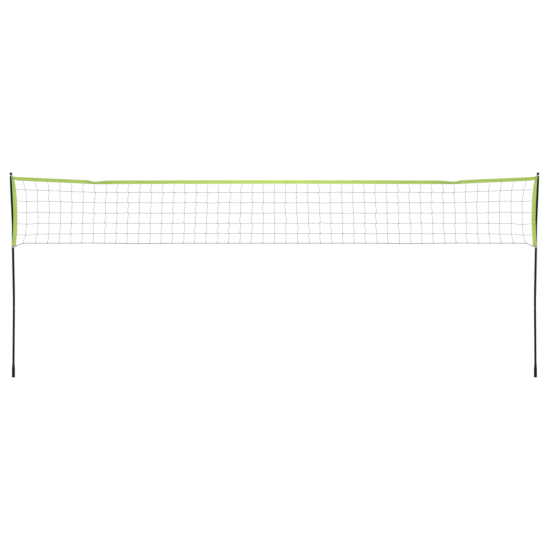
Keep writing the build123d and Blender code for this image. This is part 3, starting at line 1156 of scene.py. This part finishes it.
def make_loop(side_name):
    side = SIDES[side_name]
    shape = Shape()
    line = lashing(TOP_X, loop_low.z + LOOP_CORD_R, LOOP_RING_R, LOOP_TURNS, LOOP_RISE, loop_knot)
    loop_rope(shape, mirrored(line, side))
    centre = Vector((side * loop_knot.x, loop_knot.y, loop_knot.z))
    turn = (0.9 * side, 0.5)
    shape.knot(centre, LOOP_KNOT_SIZE, PALE_KNOT_CORD_R, turn, flat=0.95, steps=60, sides=10)
    inward = -side
    cut_end(
        shape,
        centre,
        (inward * 0.002, -0.006, -0.002),
        (inward * 0.002, -0.003, -0.007),
        (inward * 0.0015, 0, -0.008),
    )
    obj = shape.piece(f"{side_name}_top_loop_rope", PALE_CORD, "tie_cord")
    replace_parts(obj, f"{side_name}_top_loop")


def eye_line():
    """A loop that holds the bottom cord and the side band's foot to the tie's knot."""
    x, z = tie_knot.x, tie_knot.z
    points = [
        (x + 0.001, NET_Y - 0.002, z + 0.003),
        (x - 0.003, NET_Y - 0.0045, z + 0.012),
        (x - 0.004, NET_Y - 0.0050, z + 0.022),
        (x - 0.004, NET_Y, z + 0.027),
        (x - 0.004, NET_Y + 0.0050, z + 0.022),
        (x - 0.002, NET_Y + 0.0045, z + 0.012),
        (x + 0.001, NET_Y + 0.003, z + 0.003),
    ]
    return smooth_line(points, END_STEP)


def make_tie(side_name):
    side = SIDES[side_name]
    shape = Shape()
    line = lashing(TIE_X, tie_low.z + TIE_START, TIE_RING_R, TIE_TURNS, TIE_RISE, tie_knot)
    loop_rope(shape, mirrored(line, side))
    centre = Vector((side * tie_knot.x, tie_knot.y - TIE_KNOT_FORWARD, tie_knot.z))
    turn = (0.4 * side, 0.2)
    shape.knot(centre, TIE_KNOT_SIZE, PALE_KNOT_CORD_R, turn, flat=0.95, steps=60, sides=10)
    loop_rope(shape, mirrored(eye_line(), side))
    outward, inward = side, -side
    cut_end(
        shape,
        centre,
        (outward * 0.003, -0.006, -0.003),
        (outward * 0.003, -0.002, -0.009),
        (outward * 0.001, 0, -0.010),
    )
    cut_end(
        shape,
        centre,
        (inward * 0.004, -0.005, -0.003),
        (inward * 0.003, -0.001, -0.008),
        (inward * 0.001, 0, -0.006),
    )
    obj = shape.piece(f"{side_name}_bottom_tie_rope", PALE_CORD, "tie_cord")
    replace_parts(obj, f"{side_name}_bottom_tie")


# ---------------------------------------------------------------------------------------------------
# Poles


def dress_poles():
    """The CAD pole pieces keep their shapes, and get their materials here."""
    lower_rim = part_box("right_middle_tube")[0].z
    upper_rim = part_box("right_upper_tube")[0].z
    lower_spigot = lower_rim - SHOULDER_HEIGHT
    upper_spigot = upper_rim - SHOULDER_HEIGHT
    paints = {
        "lower_tube": pole_paint("pole_paint_lower", spigot_z=lower_spigot),
        "middle_tube": pole_paint("pole_paint_middle", spigot_z=upper_spigot, rim_z=lower_rim),
        "upper_tube": pole_paint("pole_paint_upper", rim_z=upper_rim),
        "foot": foot_rubber(),
        "pole_cap": cap_plastic(),
    }
    for side in SIDES:
        for node, paint in paints.items():
            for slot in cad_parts[f"{side}_{node}"].material_slots:
                slot.material = paint


# ---------------------------------------------------------------------------------------------------
# Floor, light and camera

FLOOR_HALF = 120.0
FLOOR_GREY = 0.80
ROOM_STRENGTH = 1.0
SUN_STRENGTH = 1.3
SUN_ANGLE = radians(40)
SUN_TURN = (radians(30), radians(-6), 0)
PANEL_WIDTH = 1.6
PANEL_DEPTH = 1.0
PANEL_WATTS = 11.0
PANEL_SPREAD = radians(75)
PANEL_PLACE = (0.0, -1.4, 4.3)
PANEL_TURN = (radians(36), 0, 0)

CAMERA_DISTANCE = 30.0
CAMERA_LENS = 168.0
CAMERA_SENSOR = 36.0
CAMERA_RIGHT = 0.0063
CAMERA_DOWN = 0.0013
CAMERA_REACH = 400.0


def placed(name, data, location=(0, 0, 0), turn=(0, 0, 0)):
    obj = bpy.data.objects.new(name, data)
    obj.location = location
    obj.rotation_euler = turn
    bpy.context.scene.collection.objects.link(obj)
    return obj


def make_stage():
    half = FLOOR_HALF
    corners = [(-half, -half, 0), (half, -half, 0), (half, half, 0), (-half, half, 0)]
    mesh = bpy.data.meshes.new("floor")
    mesh.from_pydata(corners, [], [(0, 1, 2, 3)])
    paper = Finish("white_floor", Base_Color=grey(FLOOR_GREY), Roughness=0.9, Specular_IOR_Level=0.0)
    mesh.materials.append(paper.material)
    floor = placed("floor", mesh)

    world = bpy.data.worlds.new("white room")
    world.use_nodes = True
    world.node_tree.nodes["Background"].inputs["Color"].default_value = (1, 1, 1, 1)
    world.node_tree.nodes["Background"].inputs["Strength"].default_value = ROOM_STRENGTH
    bpy.context.scene.world = world

    sun = bpy.data.lights.new("soft sun", "SUN")
    sun.energy = SUN_STRENGTH
    sun.angle = SUN_ANGLE
    placed("soft sun", sun, turn=SUN_TURN)

    panel = bpy.data.lights.new("overhead panel", "AREA")
    panel.shape = "RECTANGLE"
    panel.size = PANEL_WIDTH
    panel.size_y = PANEL_DEPTH
    panel.energy = PANEL_WATTS
    panel.spread = PANEL_SPREAD
    placed("overhead panel", panel, PANEL_PLACE, PANEL_TURN)


def make_camera():
    """A long lens, far back and square on to the net."""
    low, high = cad_box
    lens = bpy.data.cameras.new("camera")
    lens.sensor_width = CAMERA_SENSOR
    lens.lens = CAMERA_LENS
    lens.clip_end = CAMERA_REACH
    x = (low[0] + high[0]) / 2 + CAMERA_RIGHT
    z = (low[2] + high[2]) / 2 - CAMERA_DOWN
    bpy.context.scene.camera = placed("camera", lens, (x, -CAMERA_DISTANCE, z), (radians(90), 0, 0))


make_camera()
make_stage()
dress_poles()
top_cord = make_top_cord()
make_top_band()
make_netting()
make_bottom_cord()
for side_name in SIDES:
    make_loop(side_name)
    make_tie(side_name)
    make_side_band(side_name)

bpy.context.scene.view_settings.view_transform = "Standard"
